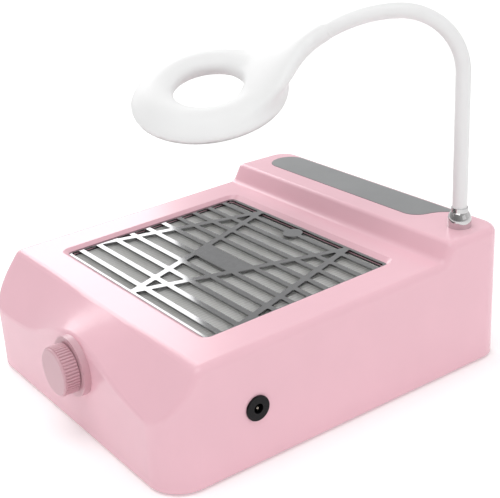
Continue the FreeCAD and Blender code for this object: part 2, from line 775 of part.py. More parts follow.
def grille_bars():
    """Everything that stays between the grille's slots, as solids."""
    half_width, half_depth = number("grille_width") / 2, number("grille_depth") / 2
    border = number("grille_border")
    inner_y = half_depth - border
    things = []
    for index in range(10):
        bar = box(f"bar_{index}", "grille_width - 2", "bar_width", "grille_thick")
        bar.setExpression("Placement.Base.x", bound("1 - grille_width / 2"))
        bar.setExpression("Placement.Base.y", bound(f"{index - 4.5} * bar_pitch - bar_width / 2"))
        things.append(bar)
    peak = number("rib_peak")
    inner_ends = [((peak, inner_y), (0, -inner_y)), ((-peak, inner_y), (0, -inner_y))]
    outer_ends = [((peak, inner_y), (half_width, -46)), ((-peak, inner_y), (-half_width, -46))]
    for index, (start, end) in enumerate(inner_ends + outer_ends):
        run_x, run_y = end[0] - start[0], end[1] - start[1]
        rib = box(f"rib_{index}", f"{math.hypot(run_x, run_y)} + 8", "rib_width", "grille_thick")
        turn = Rotation(Vector(0, 0, 1), math.degrees(math.atan2(run_y, run_x)))
        corner = Vector(*start, 0) + turn.multVec(Vector(-4, -number("rib_width") / 2, 0))
        rib.Placement = Placement(corner, turn)
        things.append(rib)
    middle = new_body("centre_plate")
    sketch = sketch_on(middle, "XY_Plane", "centre_outline")
    lean = peak / (2 * inner_y)
    half = number("bar_pitch") / 2
    low, high = peak / 2 - lean * half, peak / 2 + lean * half
    outline(sketch, [(f"-{low}", f"-{half}"), (str(low), f"-{half}"), (str(high), str(half)),
                     (f"-{high}", str(half))])
    pad(middle, sketch, "grille_thick")
    things.append(middle)
    tab = cylinder("finger_tab", "tab_radius", "grille_thick")
    tab.setExpression("Placement.Base.y", bound("4.5 * bar_pitch"))
    things.append(tab)
    return things


def filter_grille():
    blank = plate("grille_blank", "grille_width", "grille_depth", "grille_corner", "grille_thick")
    window = plate("grille_window", "grille_width - 2 * grille_border", "grille_depth - 2 * grille_border",
                   "grille_corner - 1", "grille_thick")
    slots = cut("grille_slots", window, *grille_bars())
    doc.recompute()
    rounded = doc.addObject("Part::Fillet", "grille_slots_round")
    rounded.Base = slots
    rounded.Edges = [(index, 0.9, 0.9) for index in roomy_uprights(slots.Shape, 2.6)]
    keep(place_on_top(cut("grille", blank, rounded), 0, 0, "-recess - grille_thick"), "filter_grille")


def roomy_uprights(shape, room):
    """Numbers of the upright edges whose neighbours are long enough to be rounded."""
    spans = []
    for edge in shape.Edges:
        ends = [tuple(round(value, 3) for value in vertex.Point) for vertex in edge.Vertexes]
        spans.append((ends, edge.Length, edge.Curve.TypeId == "Part::GeomLine"))
    shortest = {}
    for ends, length, _ in spans:
        for end in ends:
            level = ends[0][2] == ends[-1][2]
            shortest[end] = min(shortest.get(end, 99), length if level else 99)
    chosen = []
    for index, (ends, _, straight) in enumerate(spans, 1):
        upright = straight and ends[0][2] != ends[-1][2]
        if upright and min(shortest[end] for end in ends) > room:
            chosen.append(index)
    return chosen


# ------------------------------------------------------------------ fan, motor

def fan_outline(sketch, inset):
    """Round in front, open and straight to the rear wall."""
    radius = f"(fan_radius - {inset})"
    outline(sketch, [
        (radius, "fan_y"),
        (radius, "housing_depth / 2 - wall - 1"),
        (f"-{radius}", "housing_depth / 2 - wall - 1"),
        (f"-{radius}", "fan_y"),
        ("0", f"fan_y - {radius}", radius, 1),
        (radius, "fan_y", radius, 1),
    ][1:])


def fan_body(name, inset, height):
    body = new_body(name)
    sketch = sketch_on(body, "XY_Plane", f"{name}_outline")
    fan_outline(sketch, inset)
    pad(body, sketch, height)
    return body


def on_shaft(thing, height):
    return place(thing, "fan_x", "fan_y", height)


def fan_case():
    outside = place(fan_body("case_outside", "0", "fan_height"), 0, 0, "fan_floor")
    inside = place(fan_body("case_inside", "fan_wall", "fan_height"), 0, 0, "fan_floor + fan_wall")
    mouth = box("case_mouth", "2 * fan_radius - 2 * fan_wall", "20", "fan_height")
    place(mouth, "fan_wall - fan_radius", "housing_depth / 2 - wall - 5", "fan_floor + fan_wall")
    shell = cut("case_shell", outside, inside, mouth)
    column = cylinder("bearing_column", "bearing_radius + 1.8", "16")
    on_shaft(column, "fan_floor + fan_wall - 0.1")
    bore = on_shaft(cylinder("bearing_bore", "bearing_radius + 0.03", "17"), "fan_floor + fan_wall")
    holes = []
    for index, (x, y) in enumerate(FAN_SCREW_SPOTS):
        hole = cylinder(f"case_hole_{index}", "screw_radius + 0.2", "fan_wall + 2")
        holes.append(place(hole, x, y, "fan_floor - 1"))
    keep(cut("case", fuse("case_stock", [shell, column]), bore, *holes), "fan_case")


def fan_cover():
    sheet_part = place(fan_body("cover_sheet", "0", "fan_wall"), 0, 0, "fan_floor + fan_height + 0.05")
    bell = on_shaft(cylinder("cover_bell", "inlet_radius + fan_wall", "fan_wall + 3"),
                    "fan_floor + fan_height + 0.05")
    hole = on_shaft(cylinder("cover_hole", "inlet_radius", "20"), "fan_floor + fan_height - 5")
    keep(cut("cover", fuse("cover_stock", [sheet_part, bell]), hole), "fan_cover")


def fan_guard():
    level = "fan_floor + fan_height + fan_wall + 3.15"
    rings = []
    for index, radius in enumerate((44.8, 33, 21, 9)):
        ring = tube(f"guard_ring_{index}", str(radius), str(radius - 1.4), "1.4")
        rings.append(on_shaft(ring, level))
    for index in range(4):
        spoke = box(f"guard_spoke_{index}", "36.5", "1.4", "1.4")
        turn = Rotation(Vector(0, 0, 1), 45 + 90 * index)
        offset = turn.multVec(Vector(8, -0.7, 0))
        place(spoke, f"fan_x + {offset.x}", f"fan_y + {offset.y}", level, turn)
        rings.append(spoke)
    keep(fuse("guard", rings), "fan_guard")


def impeller():
    level = number("fan_floor") + 5.3
    disc = tube("impeller_disc", "impeller_radius", "cup_radius - 1.5", "1.5")
    cup = tube("impeller_cup", "cup_radius", "cup_radius - 1.5", "13")
    top = tube("impeller_top", "cup_radius", "shaft_radius", "2")
    ring = tube("impeller_ring", "impeller_radius", "impeller_radius - 7", "1.4")
    things = [on_shaft(disc, level), on_shaft(cup, level)]
    things.append(on_shaft(top, level + 12.9))
    things.append(on_shaft(ring, f"{level} + impeller_height"))
    for index in range(26):
        blade = box(f"blade_{index}", "21", "1.1", "impeller_height + 0.6")
        around = Rotation(Vector(0, 0, 1), index * 360 / 26)
        lean = Rotation(Vector(0, 0, 1), 38)
        start = around.multVec(Vector(33, 0, 0))
        place(blade, f"fan_x + {start.x}", f"fan_y + {start.y}", level + 0.5, around * lean)
        things.append(blade)
    keep(fuse("impeller_whole", things), "impeller")


def motor():
    floor = number("fan_floor") + number("fan_wall")
    magnet = tube("magnet_ring", "cup_radius - 1.55", "cup_radius - 4", "10")
    keep(on_shaft(magnet, floor + 4), "rotor_magnet")
    keep(on_shaft(cylinder("shaft", "shaft_radius", "18"), floor + 1), "motor_shaft")
    bearings = []
    for index, height in enumerate((1.5, 12)):
        bearing = tube(f"bearing_{index}", "bearing_radius", "shaft_radius + 0.03", "3")
        bearings.append(on_shaft(bearing, floor + height))
    keep(group("bearing_pair", bearings), "bearings")
    core = [on_shaft(tube("core_ring", "bearing_radius + 4.5", "bearing_radius + 1.85", "6"), floor + 5.5)]
    coils = []
    for index in range(9):
        around = Rotation(Vector(0, 0, 1), index * 40)
        tooth = box(f"tooth_{index}", "7", "1.8", "6")
        start = around.multVec(Vector(8.2, -0.9, 0))
        core.append(place(tooth, f"fan_x + {start.x}", f"fan_y + {start.y}", floor + 5.5, around))
        coil = box(f"coil_{index}", "4.2", "3.2", "7.4")
        hole = box(f"coil_hole_{index}", "6", "1.9", "6.1")
        hole.Placement.Base = Vector(-1, 0.65, 0.65)
        wound = cut(f"wound_{index}", coil, hole)
        start = around.multVec(Vector(10.2, -1.6, 0))
        coils.append(place(wound, f"fan_x + {start.x}", f"fan_y + {start.y}", floor + 4.8, around))
    keep(fuse("core", core), "stator_core")
    keep(group("coils", coils), "stator_coils")
    board = tube("motor_disc", "15", "bearing_radius + 1.9", "1.2")
    keep(on_shaft(board, floor + 0.8), "motor_board")


def fan_fixings():
    grommets = []
    screws = []
    room = "fan_floor - base_lift - base_thick - 0.06"
    for index, (x, y) in enumerate(FAN_SCREW_SPOTS):
        ring = tube(f"grommet_{index}", "5", "screw_radius + 0.1", room)
        grommets.append(place(ring, x, y, "base_lift + base_thick + 0.03"))
        item = screw(f"fan_screw_{index}", "screw_radius - 0.06", "5.8", "2.9", "1.5")
        screws.append(place(item, x, y, "fan_floor + fan_wall + 0.05 - 5.8"))
    keep(group("grommets", grommets), "fan_grommets")
    keep(group("fan_screw_set", screws), "fan_screws")


# ------------------------------------------------------- knob, socket, circuit

def at_knob(thing, proud):
    """Puts a turned thing on the knob's axis, its own +Z out of the front wall."""
    return place(thing, "hump_x", f"-housing_depth / 2 - ({proud})", "knob_z", FORWARD)


def knob():
    length = "knob_length"
    core = turned("knob_core", [
        ("spindle_radius", "0"),
        ("knob_radius - 0.7", "0"),
        ("knob_radius - 0.7", f"{length} - 1"),
        ("knob_radius - 1.7", length, "1", 1),
        ("0", length),
        ("0", f"{length} - 1.5"),
        ("spindle_radius", f"{length} - 1.5"),
    ])
    ribs = [core]
    for index in range(48):
        angle = math.radians(index * 7.5)
        rib = cylinder(f"knob_rib_{index}", "0.6", f"{length} - 1.8")
        rib.setExpression("Placement.Base.x", bound(f"(knob_radius - 0.6) * {math.cos(angle)}"))
        rib.setExpression("Placement.Base.y", bound(f"(knob_radius - 0.6) * {math.sin(angle)}"))
        rib.Placement.Base.z = 0.4
        ribs.append(rib)
    keep(at_knob(fuse("knob", ribs), "collar_thick + knob_gap"), "speed_knob")
    ring = tube("collar_ring", "collar_radius", "spindle_radius + 0.5", "collar_thick")
    recess = cylinder("collar_recess", "7.4", "5")
    recess.setExpression("Placement.Base.z", bound("collar_thick - 2.8"))
    keep(at_knob(cut("collar", ring, recess), "0.03"), "knob_collar")


def potentiometer():
    inner = "-wall - 0.3"
    body = turned("pot_form", [
        ("spindle_radius + 0.05", "0.5"),
        ("8.5", "0.5"),
        ("8.5", "9.5"),
        ("bushing_radius - 0.05", "9.5"),
        ("bushing_radius - 0.05", "16.2"),
        ("spindle_radius + 0.05", "16.2"),
    ])
    legs = [body]
    for index in (-1, 0, 1):
        leg = box(f"pot_leg_{index + 1}", "1.2", "5", "0.8")
        leg.Placement.Base = Vector(index * 4 - 0.6, -12.5, 3)
        legs.append(leg)
    keep(at_knob(fuse("pot", legs), f"{inner} - 9.5"), "potentiometer_body")
    reach = "collar_thick + knob_gap + knob_length - 1.6 + wall + 9"
    spindle = cylinder("spindle", "spindle_radius", reach)
    keep(at_knob(spindle, "-wall - 9"), "potentiometer_shaft")
    nut = tube("pot_nut", "6.6", "bushing_radius + 0.02", "2.2")
    keep(at_knob(nut, "collar_thick - 2.75"), "potentiometer_nut")


def at_socket(thing, proud):
    """Puts a turned thing on the socket's axis, its own +Z out of the right wall."""
    return place(thing, f"housing_width / 2 + ({proud})", "socket_y", "socket_z", RIGHTWARD)


def power_socket():
    body = turned("socket_form", [
        ("0", "0"),
        ("barrel_radius", "0"),
        ("barrel_radius", "12"),
        ("socket_flange", "12"),
        ("socket_flange", "12 + socket_proud - 0.4"),
        ("socket_flange - 0.4", "12 + socket_proud", "0.4", 1),
        ("socket_bore", "12 + socket_proud"),
        ("socket_bore", "2.5"),
        ("0", "2.5"),
    ])
    keep(at_socket(body, "0.03 - 12"), "dc_jack_body")
    nut = tube("socket_nut", "8", "barrel_radius + 0.05", "2.4")
    keep(at_socket(nut, "-wall - 2.45"), "dc_jack_nut")
    pin = turned("socket_pin", [
        ("0", "0"),
        ("1.05", "0"),
        ("1.05", "9"),
        ("0", "10.05", "1.05", 1),
    ])
    keep(at_socket(pin, "2.55 + 0.03 - 12"), "dc_jack_pin")


def circuit():
    corner = Vector(22, -112, 9)
    board = box("board", "58", "32", "1.6")
    keep(place(board, corner.x, corner.y, corner.z), "control_board")
    standoffs = []
    for index, (x, y) in enumerate(((4, 4), (54, 4), (4, 28), (54, 28))):
        pillar = cylinder(f"pillar_{index}", "2.6", "9 - base_lift - base_thick - 0.1")
        standoffs.append(place(pillar, corner.x + x, corner.y + y, "base_lift + base_thick + 0.05"))
    keep(group("pillars", standoffs), "board_pillars")
    parts = []
    for index, (x, y, radius, height) in enumerate(((12, 16, 5, 12), (25, 22, 3.2, 9), (25, 10, 3.2, 9))):
        can = cylinder(f"can_{index}", str(radius), str(height))
        parts.append(place(can, corner.x + x, corner.y + y, corner.z + 1.65))
    for index, (x, y, width, depth, height) in enumerate((
            (34, 8, 9, 7, 2), (34, 20, 8, 8, 5), (47, 12, 6, 10, 7))):
        chip = box(f"chip_{index}", str(width), str(depth), str(height))
        parts.append(place(chip, corner.x + x, corner.y + y, corner.z + 1.65))
    keep(group("components", parts), "board_parts")


# ------------------------------------------------------------------------ lamp

UP = Vector(0, 0, 1)
LEAN = Vector(math.cos(math.radians(NECK_HEADING)), math.sin(math.radians(NECK_HEADING)), 0)
SIDE = UP.cross(LEAN)


def on_neck(thing, along, height, rotation=Rotation()):
    """Puts a thing in the neck's upright plane, along it from the post."""
    x, y = number(along) * LEAN.x, number(along) * LEAN.y
    return place(thing, f"post_x + {x}", f"post_y + {y}", height, rotation)


def lamp_foot():
    ferrule = turned("ferrule_form", [
        ("neck_radius + 0.08", "-9"),
        ("tail_radius", "-9"),
        ("tail_radius", "0.03"),
        ("ferrule_radius", "0.03"),
        ("ferrule_radius", "2.2"),
        ("5.2", "9.5", "11", 1),
        ("4.95", "ferrule_height"),
        ("neck_radius + 0.08", "ferrule_height"),
    ])
    keep(on_neck(ferrule, 0, "ridge_z"), "lamp_ferrule")
    nut = tube("ferrule_ring", "8", "tail_radius + 0.02", "3")
    keep(on_neck(nut, 0, "ridge_z - wall - 3.1"), "ferrule_nut")


def ball(name, along, height):
    thing = doc.addObject("Part::Sphere", name)
    thing.setExpression("Radius", bound("neck_radius - 0.05"))
    return on_neck(thing, along, height)


def bow(name, radius, degrees, start, rotation, along, height):
    """Part of a bent neck, from its own start angle round to its end."""
    thing = doc.addObject("Part::Torus", name)
    thing.setExpression("Radius1", bound(radius))
    thing.setExpression("Radius2", bound("neck_radius"))
    thing.Angle3 = degrees - start
    return on_neck(thing, along, height, rotation * Rotation(Vector(0, 0, 1), start))


def neck():
    gap = number("neck_radius") + 0.3
    knee = "neck_knee"
    lower = cylinder("neck_post", "neck_radius", "neck_knee - ridge_z + 8")
    keep(fuse("neck_low", [on_neck(lower, 0, "ridge_z - 8"), ball("knee_ball", 0, knee)]), "neck_lower")
    middle = cylinder("neck_rise", "neck_radius", f"neck_start - neck_knee - {gap}")
    middle = on_neck(middle, 0, f"neck_knee + {gap}")
    keep(fuse("neck_mid", [middle, ball("start_ball", 0, "neck_start")]), "neck_middle")
    tight, long_bend = number("neck_bend"), number("neck_long_bend")
    apex = "neck_start + neck_bend"
    upper = bow("tight_bend", "neck_bend", 90, math.degrees(gap / tight),
                Rotation(LEAN * -1, UP, SIDE, "ZXY"), "neck_bend", "neck_start")
    keep(fuse("neck_high", [upper, ball("apex_ball", "neck_bend", apex)]), "neck_upper")
    drop = number("neck_drop")
    end = bow("long_bend", "neck_long_bend", drop, math.degrees(gap / long_bend),
              Rotation(UP, LEAN, SIDE, "ZXY"), "neck_bend", f"{apex} - neck_long_bend")
    along, height = neck_tip()
    keep(fuse("neck_tip", [end, ball("tip_ball", along, height)]), "neck_end")


def neck_tip():
    """Where the neck meets the head: along the neck's plane, and its height."""
    drop, radius = math.radians(number("neck_drop")), number("neck_long_bend")
    along = number("neck_bend") + radius * math.sin(drop)
    height = number("neck_start + neck_bend") - radius * (1 - math.cos(drop))
    return along, height


def ring_axes():
    """The ring's own axes: away from the stem, across it, and out of its top."""
    pitch, roll = math.radians(HEAD_PITCH), math.radians(HEAD_ROLL)
    away = LEAN * math.cos(pitch) + UP * math.sin(pitch)
    level = UP * math.cos(pitch) - LEAN * math.sin(pitch)
    across = SIDE * math.cos(roll) + level * math.sin(roll)
    return away, across, level * math.cos(roll) - SIDE * math.sin(roll)


def on_ring(thing):
    return on_neck(thing, REACH, RING_Z, Rotation(*ring_axes(), "ZXY"))


STEM = [
    (4.6, 0, 5.3, 5.3, 27, 0),
    (15.6, 0.5, 7.6, 5.5, 29, -4),
    (28.9, 2.9, 17, 6, 31, -12),
    (39.7, 5, 26.5, 6.2, 26, -17),
    (48.3, 5.7, 31, 5, 18, HEAD_ROLL),
    (57.4, 5.5, 36, 4, 9, HEAD_ROLL),
    (69.8, 4.4, 40, 2.5, -HEAD_PITCH, HEAD_ROLL),
]


def lamp_stem():
    """Flares from the neck into the ring. Rows: run, sag, half width, half height, fall, roll."""
    body = new_body("stem")
    sections = []
    fall = math.radians(number("neck_drop"))
    for index, (run, sag, half_width, half_height, slope, roll) in enumerate(STEM):
        point = Vector(0, run * math.cos(fall) - sag * math.sin(fall),
                       -run * math.sin(fall) - sag * math.cos(fall))
        turn = Rotation(Vector(1, 0, 0), -slope) * Rotation(Vector(0, 1, 0), roll)
        sketch = sketch_on(body, "XZ_Plane", f"stem_{index}")
        sketch.MapMode = "Deactivated"
        sketch.Placement = Placement(point, turn * Rotation(Vector(1, 0, 0), 90))
        circle = Part.Ellipse(Vector(), half_width, half_height) if half_width > half_height else \
            Part.Circle(Vector(), Vector(0, 0, 1), half_width)
        sketch.addGeometry(circle)
        sections.append(sketch)
    loft = body.newObject("PartDesign::AdditiveLoft", "stem_loft")
    loft.Profile = sections[0]
    loft.Sections = sections[1:]
    body.Tip = loft
    along, height = neck_tip()
    return on_neck(body, along, height, Rotation(SIDE * -1, LEAN, UP, "ZXY"))


def lamp_head():
    hole, outer, crest = "ring_hole", "ring_outer", "ring_height"
    form = turned("ring_form", [
        (f"{hole} + 0.8", "0", "0.8", 1),
        (f"{outer} - 0.6", "0"),
        (outer, "0.6", "0.6", 1),
        (outer, "2.6"),
        ("37.5", "9", "60", 1),
        ("30", crest, "12.9", 1),
        ("21.5", "8.4", "13.5", 1),
        ("ring_throat", "5.6", "3.2", 1),
        (hole, "0.8"),
    ])
    inside = turned("ring_inside", [
        (f"{hole} + 1.6", "-1"),
        (f"{outer} - 1.6", "-1"),
        (f"{outer} - 1.6", "2.2"),
        ("37", "7.2"),
        ("30", f"{crest} - 2"),
        (f"{hole} + 1.6", "7"),
    ])
    passage = cylinder("ring_passage", "ring_throat + 0.1", "40")
    stock = fuse("head_stock", [on_ring(form), lamp_stem()])
    keep(cut("head_shell", stock, on_ring(inside), on_ring(passage)), "lamp_head_shell")
    diffuser = turned("diffuser", [
        (f"{hole} + 1.7", "0.1"),
        (f"{outer} - 1.7", "0.1"),
        (f"{outer} - 1.7", "1.5"),
        (f"{hole} + 1.7", "1.5"),
    ])
    keep(on_ring(diffuser), "lamp_diffuser")
    board = turned("led_disc", [
        (f"{hole} + 2.2", "4.4"),
        ("38.5", "4.4"),
        ("38.5", "5.6"),
        (f"{hole} + 2.2", "5.6"),
    ])
    keep(on_ring(board), "led_board")
    chips = []
    away, across, up = ring_axes()
    for index in range(24):
        angle = math.radians(index * 15)
        for radius in (28.5, 36):
            chip = box(f"chip_{index}_{int(radius)}", "2.8", "2.8", "0.8")
            spoke = away * math.cos(angle) + across * math.sin(angle)
            rim = up.cross(spoke)
            point = spoke * (radius - 1.4) - rim * 1.4 + up * 3.55
            base = LEAN * REACH + UP * RING_Z + point
            place(chip, f"post_x + {base.x}", f"post_y + {base.y}", base.z, Rotation(spoke, rim, up, "ZXY"))
            chips.append(chip)
    keep(group("chips", chips), "led_chips")


# ----------------------------------------------------------------- everything

for make in (upper_housing, ridge_panel, grille_magnets, base_plate, rubber_feet, base_screws,
             filter_bay, filter_frame, filter_media, filter_grille, fan_case, fan_cover, fan_guard,
             impeller, motor, fan_fixings, knob, potentiometer, power_socket, circuit,
             lamp_foot, neck, lamp_head):
    make()
doc.recompute()

for thing in doc.Objects:
    if "Invalid" in thing.State or "Error" in thing.State:
        raise RuntimeError(f"{thing.Name} did not recompute: {thing.State}")
os.makedirs("parts", exist_ok=True)
for thing in SUBPARTS:
    if thing.Shape.isNull() or not thing.Shape.isValid():
        raise RuntimeError(f"{thing.Label} has no valid shape")
    thing.Shape.exportStep(f"parts/{thing.Label}.step")
print(f"{len(SUBPARTS)} sub-parts written")
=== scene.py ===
# %% [markdown]
# # Nail dust collector with a ring lamp
#
# A small table-top machine: a pink moulded housing with a filter under a polished
# grille, a speed knob in front, and a white ring lamp on a bending neck. The hard
# parts come ready made from the CAD frame, so this lesson is about three things:
# making believable materials, building the two soft-looking lamp pieces, and
# lighting a glossy pale object on a pale floor.

# %% Load the frame
import json
import math

import bmesh
import bpy
import numpy as np
from mathutils import Matrix, Vector


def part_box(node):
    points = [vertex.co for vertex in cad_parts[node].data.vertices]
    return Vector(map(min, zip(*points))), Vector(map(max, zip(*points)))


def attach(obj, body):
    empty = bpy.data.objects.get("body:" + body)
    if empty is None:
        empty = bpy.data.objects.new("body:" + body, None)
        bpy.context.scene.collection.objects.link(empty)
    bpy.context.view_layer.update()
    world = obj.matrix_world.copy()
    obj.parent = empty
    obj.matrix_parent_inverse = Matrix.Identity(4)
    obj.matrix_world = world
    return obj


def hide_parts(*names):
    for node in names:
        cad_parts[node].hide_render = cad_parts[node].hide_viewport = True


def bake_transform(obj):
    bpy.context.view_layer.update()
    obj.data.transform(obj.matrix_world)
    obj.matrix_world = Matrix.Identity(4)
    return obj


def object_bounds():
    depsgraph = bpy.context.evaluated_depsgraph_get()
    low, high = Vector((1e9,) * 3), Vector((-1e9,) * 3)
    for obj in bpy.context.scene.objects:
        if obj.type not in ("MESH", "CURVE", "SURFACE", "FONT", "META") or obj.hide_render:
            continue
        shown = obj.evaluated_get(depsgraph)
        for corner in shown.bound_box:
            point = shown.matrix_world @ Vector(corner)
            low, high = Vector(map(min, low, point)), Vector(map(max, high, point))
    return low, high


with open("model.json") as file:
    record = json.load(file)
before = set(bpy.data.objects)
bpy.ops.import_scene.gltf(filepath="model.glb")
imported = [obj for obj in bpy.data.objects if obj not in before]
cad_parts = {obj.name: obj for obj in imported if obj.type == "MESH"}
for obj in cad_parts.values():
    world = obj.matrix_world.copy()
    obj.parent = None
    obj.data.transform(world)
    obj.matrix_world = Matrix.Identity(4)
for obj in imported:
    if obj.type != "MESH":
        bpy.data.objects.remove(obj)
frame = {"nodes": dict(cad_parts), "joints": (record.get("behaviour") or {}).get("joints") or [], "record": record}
cad_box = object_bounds()
nodes = frame["nodes"]
record = frame["record"]
joints = {joint["name"]: joint for joint in frame["joints"]}

# %% [markdown]
# ## The camera
#
# The camera looks down at the front right corner of the machine. A camera in
# Blender looks along its own -Z axis, so its +Z axis is the direction from the
# subject back to the camera. That direction comes from two angles, and a third
# angle rolls the camera a little about its line of sight.

# %% Camera
CAMERA_PLACE = Vector((0.4861, -0.3270, 0.3192))
CAMERA_AZIMUTH = math.radians(54.759)
CAMERA_HEIGHT = math.radians(22.697)
CAMERA_ROLL = math.radians(-3.238)
CAMERA_LENS_MM = 75.36


def camera_turn(azimuth, height, roll):
    """Rotation of a camera that looks down from that side."""
    back = Vector((
        math.sin(azimuth) * math.cos(height),
        -math.cos(azimuth) * math.cos(height),
        math.sin(height),
    ))
    level = Vector((math.cos(azimuth), math.sin(azimuth), 0))
    upright = back.cross(level)
    right = level * math.cos(roll) + upright * math.sin(roll)
    up = back.cross(right)
    return Matrix((right, up, back)).transposed().to_4x4()


camera_data = bpy.data.cameras.new("camera")
camera_data.lens = CAMERA_LENS_MM
camera_data.sensor_width = 36
camera = bpy.data.objects.new("camera", camera_data)
turn = camera_turn(CAMERA_AZIMUTH, CAMERA_HEIGHT, CAMERA_ROLL)
camera.matrix_world = Matrix.Translation(CAMERA_PLACE) @ turn
bpy.context.scene.collection.objects.link(camera)
bpy.context.scene.camera = camera
print("camera looks along", [round(v, 3) for v in -turn.col[2].to_3d()])

# %% [markdown]
# ## Floor and light
#
# Glossy plastic shows whatever stands round it. A wide white floor and a bright
# world give clean pale sides. One large, much brighter panel stands behind on the
# left: the grille is dark polished metal, a mirror that throws back about a quarter of
# what it sees, so this panel shows in it as a white sheen with a sharp edge. A panel
# overhead lifts the top faces, and one on the right lifts the long side wall. The
# world is brighter behind than in front, so the front face stays a little darker. The
# plain "Standard" view transform keeps pale colours pale and clean.

# %% Floor
FLOOR_REACH = 40.0
floor_mesh = bpy.data.meshes.new("floor")
corners = [(-FLOOR_REACH, -FLOOR_REACH), (FLOOR_REACH, -FLOOR_REACH),
           (FLOOR_REACH, FLOOR_REACH), (-FLOOR_REACH, FLOOR_REACH)]
floor_mesh.from_pydata([(x, y, cad_box[0][2]) for x, y in corners], [], [(0, 1, 2, 3)])
floor = bpy.data.objects.new("floor", floor_mesh)
bpy.context.scene.collection.objects.link(floor)
floor_paint = bpy.data.materials.new("floor_paint")
floor_paint.use_nodes = True
floor_shader = floor_paint.node_tree.nodes["Principled BSDF"]
floor_shader.inputs["Base Color"].default_value = (0.95, 0.95, 0.95, 1)
floor_shader.inputs["Roughness"].default_value = 0.9
floor_shader.inputs["Emission Color"].default_value = (1, 1, 1, 1)
floor_shader.inputs["Emission Strength"].default_value = 0.2
floor_mesh.materials.append(floor_paint)
print("floor reaches", FLOOR_REACH, "m each way")

# %% World
WORLD_IN_FRONT = 0.22
WORLD_BEHIND = 0.86


def link(tree, source, output, target, socket):
    """Joins an output of one node to a socket of another."""
    tree.links.new(source.outputs[output], target.inputs[socket])


world = bpy.data.worlds.new("studio")
bpy.context.scene.world = world
world.use_nodes = True
studio = world.node_tree
sky = studio.nodes["Background"]
sky.inputs["Color"].default_value = (1.0, 1.0, 1.0, 1)
direction = studio.nodes.new("ShaderNodeTexCoord")
split = studio.nodes.new("ShaderNodeSeparateXYZ")
fade = studio.nodes.new("ShaderNodeMapRange")
fade.inputs["From Min"].default_value = -1
fade.inputs["To Min"].default_value = WORLD_IN_FRONT
fade.inputs["To Max"].default_value = WORLD_BEHIND
link(studio, direction, "Generated", split, "Vector")
link(studio, split, "Y", fade, "Value")
link(studio, fade, "Result", sky, "Strength")
bpy.context.scene.view_settings.view_transform = "Standard"
print("world strength", WORLD_IN_FRONT, "in front,", WORLD_BEHIND, "behind")


# %% Light panels
LIT_POINT = Vector((0, 0, 0.05))


def light_panel(name, place, width, height, watts):
    """A rectangular soft light that faces the middle of the machine."""
    data = bpy.data.lights.new(name, "AREA")
    data.shape = "RECTANGLE"
    data.size, data.size_y = width, height
    data.energy = watts
    lamp = bpy.data.objects.new(name, data)
    facing = (Vector(place) - LIT_POINT).to_track_quat("Z", "Y").to_matrix().to_4x4()
    lamp.matrix_world = Matrix.Translation(place) @ facing
    bpy.context.scene.collection.objects.link(lamp)


light_panel("key_panel", (-2.15, 0.476, 1.2), 1.35, 1.2, 16)
light_panel("top_panel", (0.3, -0.8, 2.1), 2.0, 2.0, 26)
light_panel("side_panel", (2.3, 0.2, 0.9), 1.5, 1.0, 1.5)

# %% [markdown]
# ## One recipe for most finishes
#
# Nothing real is one flat colour. Each finish here starts from the Principled
# shader and adds three things made from noise: a slow drift between two close
# colours, a slight change of roughness, and a fine bump for the grain that a
# mould or a cutter leaves. The noise follows the object's own coordinates, so it
# stays on the part from every side.


# %% The recipe
FINISHES = {}
DRIFT_BAND = (0.35, 0.65)
GRAIN_STRENGTH = 0.6


def noise(tree, scale, detail=3.0, squeeze=(1, 1, 1)):
    """Noise in metres of the object itself; squeeze packs it closer along an axis."""
    place = tree.nodes.new("ShaderNodeTexCoord")
    mapping = tree.nodes.new("ShaderNodeMapping")
    mapping.inputs["Scale"].default_value = squeeze
    texture = tree.nodes.new("ShaderNodeTexNoise")
    texture.inputs["Scale"].default_value = scale
    texture.inputs["Detail"].default_value = detail
    link(tree, place, "Object", mapping, "Vector")
    link(tree, mapping, "Vector", texture, "Vector")
    return texture


def finish(name, colour, rough, drift=0.04, metal=0.0, grain=1500, depth=0.02,
           squeeze=(1, 1, 1), patch=30, rough_spread=0.05, settings=()):
    """Adds a material to FINISHES. depth is the grain's bump in mm, drift the change of colour."""
    material = bpy.data.materials.new(name)
    material.use_nodes = True
    tree = material.node_tree
    shader = tree.nodes["Principled BSDF"]
    shader.inputs["Metallic"].default_value = metal
    for socket, value in settings:
        shader.inputs[socket].default_value = value
    slow = noise(tree, patch, squeeze=squeeze)
    ramp = tree.nodes.new("ShaderNodeValToRGB")
    low = [max(c * (1 - drift), 0) for c in colour]
    high = [min(c * (1 + drift), 1) for c in colour]
    for stop, place, paint in zip(ramp.color_ramp.elements, DRIFT_BAND, (low, high)):
        stop.position = place
        stop.color = (*paint, 1)
    link(tree, slow, "Fac", ramp, "Fac")
    link(tree, ramp, "Color", shader, "Base Color")
    fine = noise(tree, grain, detail=2.0, squeeze=squeeze)
    spread = tree.nodes.new("ShaderNodeMapRange")
    spread.inputs["To Min"].default_value = max(rough - rough_spread, 0.02)
    spread.inputs["To Max"].default_value = min(rough + rough_spread, 1)
    link(tree, fine, "Fac", spread, "Value")
    link(tree, spread, "Result", shader, "Roughness")
    bump = tree.nodes.new("ShaderNodeBump")
    bump.inputs["Strength"].default_value = GRAIN_STRENGTH
    bump.inputs["Distance"].default_value = depth / 1000
    link(tree, fine, "Fac", bump, "Height")
    link(tree, bump, "Normal", shader, "Normal")
    FINISHES[name] = material


print("recipe ready, drift band", DRIFT_BAND)
